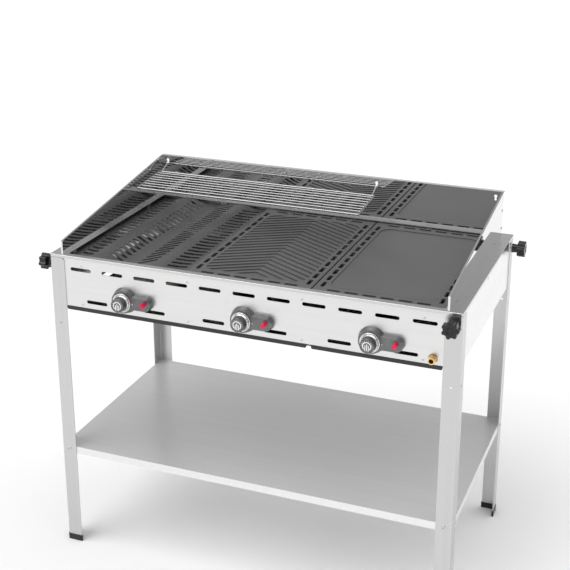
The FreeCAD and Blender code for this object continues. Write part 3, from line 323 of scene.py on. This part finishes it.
EDGE_BREAKS = {              # the width of the rounding in millimetres
    "leg_front_left": 0.4, "leg_front_right": 0.4, "leg_rear_left": 0.4, "leg_rear_right": 0.4,
    "griddle_plate": 0.8, "ribbed_plate": 0.6, "wave_grid": 0.5,
}


def break_edges():
    """Round the sharp edges of the legs and the plates a little, as bending and casting leave them."""
    for name, width in EDGE_BREAKS.items():
        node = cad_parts[name]
        node.modifiers.new("weld", "WELD").merge_threshold = 0.01 * MM
        bevel = node.modifiers.new("bevel", "BEVEL")
        bevel.width = width * MM
        bevel.segments = 2
        bevel.limit_method = "ANGLE"
        bevel.angle_limit = math.radians(40)
        node.modifiers.new("normals", "WEIGHTED_NORMAL").weight = 90


# Pieces ---------------------------------------------------------------------------------------------

def add_piece(name, mesh, slot, body, material=None):
    """Make an object of a bmesh, smooth it, and let it ride on a body."""
    data = bpy.data.meshes.new(name)
    bmesh.ops.recalc_face_normals(mesh, faces=mesh.faces)
    mesh.to_mesh(data)
    mesh.free()
    data.shade_smooth()
    data.set_sharp_from_angle(angle=math.radians(32))
    data.materials.append(material or MATERIALS[slot])
    piece = bpy.data.objects.new(name, data)
    bpy.context.scene.collection.objects.link(piece)
    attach(piece, body)
    return piece


def round_form(angle):
    return 1.0


def hexagon(angle):
    """How far a hexagon's edge lies from its middle, as a share of its corner radius."""
    return math.cos(math.pi / 6) / math.cos((angle + math.pi / 6) % (math.pi / 3) - math.pi / 6)


def cross(angle):
    """The outline of a cross recess, as a share of its tip radius."""
    return 0.34 + 0.66 * abs(math.cos(2 * angle)) ** 5


def turn_into(mesh, outline, at, way, sides=32):
    """Add a closed turned form to mesh.

    Each point of the outline is a radius, a height along way, and where it isn't round, a form.
    """
    place = Matrix.Translation(at) @ way.to_track_quat("Z", "Y").to_matrix().to_4x4()
    rings = []
    for radius, height, *form in outline:
        shape = form[0] if form else round_form
        if radius == 0.0:
            rings.append([mesh.verts.new(place @ Vector((0, 0, height)))])
            continue
        ring = []
        for k in range(sides):
            angle = 2 * math.pi * k / sides
            reach = radius * shape(angle)
            spot = Vector((reach * math.cos(angle), reach * math.sin(angle), height))
            ring.append(mesh.verts.new(place @ spot))
        rings.append(ring)
    for low, high in zip(rings, rings[1:]):
        for k in range(sides):
            corners = [low[k % len(low)], low[(k + 1) % len(low)],
                       high[(k + 1) % len(high)], high[k % len(high)]]
            corners = list(dict.fromkeys(corners))
            if len(corners) > 2:
                mesh.faces.new(corners)
    return mesh


def turned(outline, at, way, sides=32):
    return turn_into(bmesh.new(), outline, at, way, sides)


def bow(radius, height, start, end, steps=6, centre=(0.0, 0.0)):
    """Points of an arc in an outline, between two angles in degrees."""
    points = []
    for k in range(steps + 1):
        a = math.radians(start + (end - start) * k / steps)
        points.append((centre[0] + radius * math.cos(a), centre[1] + height * math.sin(a)))
    return points


def solids(node):
    """The lowest and highest corners of each separate solid of a CAD node."""
    mesh = bmesh.new()
    mesh.from_mesh(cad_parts[node].data)
    bmesh.ops.remove_doubles(mesh, verts=mesh.verts, dist=0.01 * MM)
    left = set(mesh.verts)
    boxes = []
    while left:
        reached = [left.pop()]
        island = []
        while reached:
            vert = reached.pop()
            island.append(vert.co.copy())
            for edge in vert.link_edges:
                other = edge.other_vert(vert)
                if other in left:
                    left.remove(other)
                    reached.append(other)
        boxes.append((Vector(map(min, *island)), Vector(map(max, *island))))
    mesh.free()
    return sorted(boxes, key=lambda box: tuple(round(c, 4) for c in box[0]))


def middle(box):
    return (box[0] + box[1]) / 2


def face_centre(box, way):
    """The middle of the face of a box that looks along way."""
    centre = middle(box)
    half = (box[1] - box[0]) / 2
    return centre + Vector((way.x * half.x, way.y * half.y, way.z * half.z))


def outward(box, limits):
    """Which way a fastener's head faces: out of the nearest side of the body."""
    centre = middle(box)
    low, high = limits
    gaps = {"x-": centre.x - low.x, "x+": high.x - centre.x,
            "y-": centre.y - low.y, "y+": high.y - centre.y}
    side = min(gaps, key=gaps.get)
    return {"x-": -RIGHT, "x+": RIGHT, "y-": OUT, "y+": -OUT}[side]


# Fasteners ------------------------------------------------------------------------------------------

def rivets():
    """Blind rivets: a domed head with the hole that the snapped mandrel leaves."""
    mesh = bmesh.new()
    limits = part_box("top_frame")
    for box in solids("panel_rivets"):
        way = outward(box, limits)
        half = (box[1] - box[0]) / 2
        radius = max(half.x, half.z) if abs(way.y) > 0.5 else max(half.y, half.z)
        depth = abs((box[1] - box[0]).dot(way))
        foot = face_centre(box, -way)
        head = 1.1 * MM
        shank = radius * 0.58
        outline = [(0, 0), (shank, 0), (shank, depth - head), (radius, depth - head)]
        outline += [(r, depth - head + h) for r, h in bow(radius, head, 12, 62, 5)]
        outline += [(radius * 0.36, depth - 0.15 * MM), (radius * 0.30, depth - 0.7 * MM),
                    (0, depth - 0.8 * MM)]
        turn_into(mesh, outline, foot, way, 24)
    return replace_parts(add_piece("rivet_heads", mesh, "fastener_steel", "frame"), "panel_rivets")


def shelf_bolts():
    """Button-head bolts with a hexagon socket, and their nuts inside the shelf's edge."""
    mesh = bmesh.new()
    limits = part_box("top_frame")
    head, radius, nut = 3.0 * MM, 5.5 * MM, 5.0 * MM
    shank = 3.0 * MM
    for box in solids("shelf_bolts"):
        way = outward(box, limits)
        depth = abs((box[1] - box[0]).dot(way))
        foot = face_centre(box, -way)
        under = depth - head
        outline = [(0, 0), (shank * 0.8, 0), (shank, 0.4 * MM), (shank, 2.0 * MM)]
        outline += [(nut * 1.02, 2.1 * MM, hexagon), (nut * 1.15, 2.5 * MM, hexagon),
                    (nut * 1.15, 6.6 * MM, hexagon), (nut * 1.02, 7.0 * MM, hexagon), (shank, 7.0 * MM)]
        outline += [(shank, under), (radius, under)]
        outline += [(r, under + h) for r, h in bow(radius, head, 8, 60, 6)]
        outline += [(2.1 * MM, depth - 0.05 * MM, hexagon), (1.9 * MM, depth - 1.5 * MM, hexagon),
                    (0, depth - 1.9 * MM)]
        turn_into(mesh, outline, foot, way, 24)
    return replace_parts(add_piece("shelf_bolt_heads", mesh, "fastener_steel", "frame"), "shelf_bolts")


def guard_screws():
    """Pan-head screws with a cross recess."""
    mesh = bmesh.new()
    head, radius, shank = 2.2 * MM, 3.6 * MM, 2.0 * MM
    for box in solids("wind_guard_screws"):
        way = RIGHT if middle(box).x > 0 else -RIGHT
        depth = abs((box[1] - box[0]).dot(way))
        foot = face_centre(box, -way)
        under = depth - head
        outline = [(0, 0), (shank * 0.7, 0)]
        for k in range(int(under / (0.7 * MM))):
            outline += [(shank, (k * 0.7 + 0.2) * MM), (shank * 0.84, (k * 0.7 + 0.55) * MM)]
        outline += [(shank, under), (radius, under)]
        outline += [(r, under + h) for r, h in bow(radius, head, 8, 62, 6)]
        outline += [(1.45 * MM, depth - 0.05 * MM, cross), (0.9 * MM, depth - 1.3 * MM, cross),
                    (0, depth - 1.5 * MM)]
        turn_into(mesh, outline, foot, way, 48)
    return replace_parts(add_piece("guard_screw_heads", mesh, "fastener_steel", "wind_guard"),
                       "wind_guard_screws")


# Controls -------------------------------------------------------------------------------------------

def flutes(count, depth):
    """A form with shallow finger grooves round it."""
    def form(angle):
        return 1.0 - depth * (0.5 - 0.5 * math.cos(count * angle)) ** 3
    return form


def control_knob(side):
    """A fluted grip on a flange, with a rounded tip, a dished face and the bore for its spindle."""
    low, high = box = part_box("control_knob_" + side)
    depth = high.y - low.y
    radius = (high.x - low.x) / 2
    grip, tip = radius * 0.86, radius * 0.80
    foot = face_centre(box, -OUT)
    grooved = flutes(36, 0.028)
    bore = 4.0 * MM
    outline = [(0, 14 * MM), (bore, 14 * MM), (bore, 0), (radius * 0.995, 0), (radius, 0.3 * MM),
               (radius, 0.9 * MM), (grip, 1.0 * MM)]
    for k in range(7):
        share = k / 6
        form = grooved if 0 < k < 6 else round_form
        outline.append((grip + (tip - grip) * share, (1.5 + share * (depth / MM - 5.0)) * MM, form))
    outline += bow(2.0 * MM, 2.0 * MM, 10, 90, 6, (tip - 2.0 * MM, depth - 2.05 * MM))
    outline += [(tip - 3.2 * MM, depth - 0.05 * MM), (tip - 3.8 * MM, depth - 0.45 * MM),
                (tip * 0.4, depth - 0.6 * MM), (0, depth - 0.65 * MM)]
    mesh = turned(outline, foot, OUT, 144)
    piece = add_piece("knob_grip_" + side, mesh, "knob_grey", "knob_turn_" + side)
    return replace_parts(piece, "control_knob_" + side)


def knob_skirt(side):
    """The bright cone round the grip's foot, polished, with a fine bead at its top."""
    low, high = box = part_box("control_knob_" + side)
    radius = (high.x - low.x) / 2
    neck, height = radius * 0.865, 5.5 * MM
    outline = [(neck, 0.9 * MM), (radius * 0.995, 0.9 * MM), (radius, 1.3 * MM),
               (radius * 0.99, 1.9 * MM), (neck + 0.9 * MM, height - 0.8 * MM)]
    outline += bow(0.5 * MM, 0.5 * MM, 0, 90, 4, (neck + 0.4 * MM, height - 0.5 * MM))
    outline += [(neck, height), (neck, 0.9 * MM)]
    mesh = turned(outline, face_centre(box, -OUT), OUT, 96)
    bmesh.ops.remove_doubles(mesh, verts=mesh.verts, dist=0.001 * MM)
    return add_piece("knob_skirt_" + side, mesh, "ring_silver", "knob_turn_" + side)


def stroke(mesh, place, points, half_width, thickness):
    """A raised painted line through points in the plane of a face, as a closed strip."""
    rows = []
    for k, point in enumerate(points):
        before, after = points[max(k - 1, 0)], points[min(k + 1, len(points) - 1)]
        run = (Vector(after) - Vector(before)).normalized()
        side = Vector((-run.y, run.x)) * half_width
        corners = []
        for sign, height in ((-1, 0.0), (-1, thickness), (1, thickness), (1, 0.0)):
            spot = Vector(point) + side * sign
            corners.append(mesh.verts.new(place @ Vector((spot.x, spot.y, height))))
        rows.append(corners)
    for first, second in zip(rows, rows[1:]):
        for k in range(4):
            mesh.faces.new([first[k], first[(k + 1) % 4], second[(k + 1) % 4], second[k]])
    mesh.faces.new(rows[0])
    mesh.faces.new(list(reversed(rows[-1])))


def polar(radius, degrees):
    """A point at an angle from straight up, clockwise as the cook sees it."""
    return (radius * math.sin(math.radians(degrees)), radius * math.cos(math.radians(degrees)))


def knob_marks(side):
    """White paint on the knob's face: a scale of ticks, an open ring and three flame strokes."""
    low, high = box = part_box("control_knob_" + side)
    face = face_centre(box, OUT) - OUT * 0.66 * MM
    place = Matrix.Translation(face) @ Matrix((RIGHT, UP, OUT)).transposed().to_4x4()
    lift = 0.3 * MM
    mesh = bmesh.new()
    for k in range(9):
        degrees = -88 + 22 * k
        stroke(mesh, place, [polar(12.6 * MM, degrees), polar(15.4 * MM, degrees)], 0.55 * MM, lift)
    ring = [polar(9.8 * MM, -140 + 10 * k) for k in range(29)]
    stroke(mesh, place, ring, 1.25 * MM, lift)
    for across, top in ((-4.2, 2.0), (0.0, 5.6), (4.2, 2.0)):
        flame = [(across * MM, -11.5 * MM), (across * MM, (top - 3.0) * MM),
                 (across * 0.8 * MM, top * MM)]
        stroke(mesh, place, flame, 1.05 * MM, lift)
    return add_piece("knob_marks_" + side, mesh, "ring_silver", "knob_turn_" + side, WHITE_PAINT)


def knob_ring(side):
    """The bright ring behind the knob, with a stepped bevel and a groove."""
    low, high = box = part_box("knob_ring_" + side)
    depth = high.y - low.y
    radius = (high.x - low.x) / 2
    hole = 16.0 * MM
    foot = face_centre(box, -OUT)
    outline = [(hole, 0), (radius - 0.4 * MM, 0), (radius, 0.4 * MM), (radius, depth - 1.6 * MM)]
    outline += bow(1.2 * MM, 1.2 * MM, 0, 80, 5, (radius - 1.2 * MM, depth - 1.5 * MM))
    outline += [(radius - 1.9 * MM, depth - 0.35 * MM), (radius - 2.1 * MM, depth - 0.7 * MM),
                (radius - 2.5 * MM, depth - 0.7 * MM), (radius - 2.7 * MM, depth - 0.2 * MM),
                (radius - 2.9 * MM, depth), (hole, depth), (hole, 0)]
    mesh = turned(outline, foot, OUT, 96)
    bmesh.ops.remove_doubles(mesh, verts=mesh.verts, dist=0.001 * MM)
    piece = add_piece("knob_bright_ring_" + side, mesh, "ring_silver", "knob_turn_" + side)
    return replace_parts(piece, "knob_ring_" + side)


def index_dot(side):
    """The white mark on the surround that the knob's scale is read against."""
    knob = middle(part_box("control_knob_" + side))
    bezel = [box for box in solids("control_bezels") if box[0].x < knob.x < box[1].x][0]
    at = Vector((knob.x + 28.0 * MM, bezel[0].y, knob.z - 1.5 * MM))
    outline = [(0, -0.4 * MM), (1.3 * MM, -0.4 * MM)] + bow(1.3 * MM, 0.35 * MM, 0, 90, 4)
    outline[-1] = (0, 0.35 * MM)
    mesh = turned(outline, at, OUT, 20)
    return add_piece("index_dot_" + side, mesh, "ring_silver", "frame", WHITE_PAINT)


def igniter_button(side):
    """A round red button with a crowned end and a finger rim."""
    low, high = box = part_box("igniter_button_" + side)
    depth = high.y - low.y
    radius = (high.x - low.x) / 2
    foot = face_centre(box, -OUT)
    outline = [(0, 0), (radius - 0.5 * MM, 0), (radius, 0.5 * MM), (radius, depth - 2.2 * MM)]
    outline += bow(1.4 * MM, 1.4 * MM, 0, 90, 6, (radius - 1.4 * MM, depth - 1.4 * MM))
    outline += [(radius - 1.9 * MM, depth - 0.15 * MM), (radius * 0.35, depth - 0.4 * MM),
                (0, depth - 0.45 * MM)]
    mesh = turned(outline, foot, OUT, 40)
    piece = add_piece("button_cap_" + side, mesh, "button_red", "igniter_" + side)
    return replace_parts(piece, "igniter_button_" + side)


def star_cap(name, way):
    """The pressed cap in the middle of a star knob, with a ring and a dimple."""
    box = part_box("star_knob_" + name)
    at = face_centre(box, way) - way * 2.0 * MM
    outline = [(0, 0.05 * MM), (8.7 * MM, 0.05 * MM), (8.7 * MM, 0.9 * MM)]
    outline += bow(0.5 * MM, 0.5 * MM, 0, 90, 3, (8.2 * MM, 0.9 * MM))
    outline += [(6.6 * MM, 1.4 * MM), (6.2 * MM, 1.0 * MM), (5.6 * MM, 1.0 * MM), (5.2 * MM, 1.45 * MM),
                (2.6 * MM, 1.6 * MM), (2.0 * MM, 1.2 * MM), (0, 1.0 * MM)]
    mesh = turned(outline, at, way, 40)
    return add_piece("star_cap_" + name, mesh, "black_plastic", "star_turn_" + name)


# Plates ---------------------------------------------------------------------------------------------

FIELD_INSET, FIELD_INSET_END = 28.0 * MM, 37.5 * MM     # from a plate's sides and ends to its field
FIELD_CORNER = 28.0 * MM


def rounded_path(low, high, radius, steps=8):
    """Points round a rectangle with round corners, in the plane of the plates."""
    path = []
    corners = ((high.x, high.y, 0), (low.x, high.y, 90), (low.x, low.y, 180), (high.x, low.y, 270))
    for x, y, start in corners:
        centre_x = x - radius if x == high.x else x + radius
        centre_y = y - radius if y == high.y else y + radius
        path += bow(radius, radius, start, start + 90, steps, (centre_x, centre_y))
    return path


def plate_bead(name):
    """The cast bead round the field of a plate: a low ridge whose inner side drops into the field."""
    low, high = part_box(name)
    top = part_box("griddle_plate")[1].z
    start = Vector((low.x + FIELD_INSET, low.y + FIELD_INSET_END, 0))
    end = Vector((high.x - FIELD_INSET, high.y - FIELD_INSET_END, 0))
    section = [(-2.6, -0.2), (-2.0, 0.2), (-1.2, 0.5), (-0.4, 0.5), (0.3, 0.1), (0.8, -0.9)]
    mesh = bmesh.new()
    rings = []
    for across, height in section:
        inward = Vector((across * MM, across * MM, 0))
        path = rounded_path(start + inward, end - inward, FIELD_CORNER - across * MM)
        rings.append([mesh.verts.new((x, y, top + height * MM)) for x, y in path])
    for first, second in zip(rings, rings[1:] + rings[:1]):
        for k in range(len(first)):
            following = (k + 1) % len(first)
            mesh.faces.new([first[k], first[following], second[following], second[k]])
    return add_piece(name + "_bead", mesh, "black_enamel", name)


# Gas inlet ------------------------------------------------------------------------------------------

def gas_inlet_thread():
    """The nipple's thread, cut as a true helix, with its chamfer."""
    low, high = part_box("gas_inlet")
    centre_x, centre_z = (low.x + high.x) / 2, (low.z + high.z) / 2
    crest, root, pitch = 8.28 * MM, 7.35 * MM, 1.34 * MM
    start = low.y + 0.3 * MM
    length = 10.4 * MM
    steps = 40
    mesh = bmesh.new()
    rows = []
    for k in range(int(length / pitch * steps)):
        angle = 2 * math.pi * k / steps
        y = start + pitch * k / steps
        fade = min(1.0, k / steps)
        top = root + (crest - root) * fade
        profile = ((root - 0.1 * MM, -0.62), (top, -0.12), (top, 0.12), (root - 0.1 * MM, 0.62))
        rows.append([mesh.verts.new((centre_x + r * math.cos(angle), y + share * pitch * 0.8,
                                     centre_z + r * math.sin(angle))) for r, share in profile])
    for first, second in zip(rows, rows[1:]):
        for k in range(4):
            mesh.faces.new([first[k], first[(k + 1) % 4], second[(k + 1) % 4], second[k]])
    mesh.faces.new(rows[0])
    mesh.faces.new(list(reversed(rows[-1])))
    return add_piece("inlet_thread", mesh, "brass", "frame")


# Scene ----------------------------------------------------------------------------------------------

FLOOR_REACH = 40.0
SKY = ((0.0, 1.0), (0.12, 0.95), (0.42, 0.38), (0.75, 0.45), (1.0, 0.7))   # height, brightness
KEY_FROM, KEY_ANGLE, KEY_STRENGTH = (-0.45, -0.5, 1.0), 50.0, 1.5
FILL_FROM, FILL_ANGLE, FILL_STRENGTH = (0.5, 0.25, 1.0), 60.0, 0.7
SENSOR, LENS, SHIFT = 36.0, 75.0, -0.1
CAMERA_PLACE = (1.038, -2.652, 1.853)
CAMERA_TILT, CAMERA_TURN = 19.08, 21.46     # degrees down from level, and round from square on


def floor():
    mesh = bmesh.new()
    sides = ((-1, -1), (1, -1), (1, 1), (-1, 1))
    mesh.faces.new([mesh.verts.new((x * FLOOR_REACH, y * FLOOR_REACH, 0.0)) for x, y in sides])
    data = bpy.data.meshes.new("floor")
    mesh.to_mesh(data)
    mesh.free()
    data.materials.append(pale_ground("floor_pale"))
    ground = bpy.data.objects.new("floor", data)
    bpy.context.scene.collection.objects.link(ground)


def sun(name, source, angle, strength):
    """A very wide sun: one soft, even light from a direction."""
    data = bpy.data.lights.new(name, "SUN")
    data.angle = math.radians(angle)
    data.energy = strength
    lamp = bpy.data.objects.new(name, data)
    lamp.rotation_euler = Vector(source).to_track_quat("Z", "Y").to_euler()
    bpy.context.scene.collection.objects.link(lamp)


def studio():
    """A surround that is white at the horizon and grey above it, and wide soft lights from overhead."""
    world = bpy.data.worlds.new("studio")
    bpy.context.scene.world = world
    world.use_nodes = True
    nodes, links = world.node_tree.nodes, world.node_tree.links
    place = nodes.new("ShaderNodeTexCoord").outputs["Generated"]
    split = nodes.new("ShaderNodeSeparateXYZ")
    ramp = nodes.new("ShaderNodeValToRGB")
    links.new(place, split.inputs[0])
    links.new(split.outputs["Z"], ramp.inputs["Fac"])
    links.new(ramp.outputs["Color"], nodes["Background"].inputs["Color"])
    for spare in range(len(SKY) - 2):
        ramp.color_ramp.elements.new(0.5)
    for element, (height, value) in zip(ramp.color_ramp.elements, SKY):
        element.position = height
        element.color = (*grey(value), 1.0)
    sun("key_light", KEY_FROM, KEY_ANGLE, KEY_STRENGTH)
    sun("fill_light", FILL_FROM, FILL_ANGLE, FILL_STRENGTH)


def camera():
    """The camera stands to the right of the controls and above the lip, and looks down at the grill."""
    data = bpy.data.cameras.new("camera")
    data.sensor_width = SENSOR
    data.lens = LENS
    data.shift_y = SHIFT
    made = bpy.data.objects.new("camera", data)
    made.location = CAMERA_PLACE
    made.rotation_euler = (math.radians(90 - CAMERA_TILT), 0.0, math.radians(CAMERA_TURN))
    bpy.context.scene.collection.objects.link(made)
    bpy.context.scene.camera = made


finish_frame()
break_edges()
floor()
studio()
camera()
bpy.context.scene.view_settings.view_transform = "Standard"
rivets()
shelf_bolts()
guard_screws()
for side in SIDES:
    control_knob(side)
    knob_skirt(side)
    knob_marks(side)
    knob_ring(side)
    index_dot(side)
    igniter_button(side)
for star, way in STAR_WAYS.items():
    star_cap(star, way)
plate_bead("griddle_plate")
plate_bead("ribbed_plate")
gas_inlet_thread()
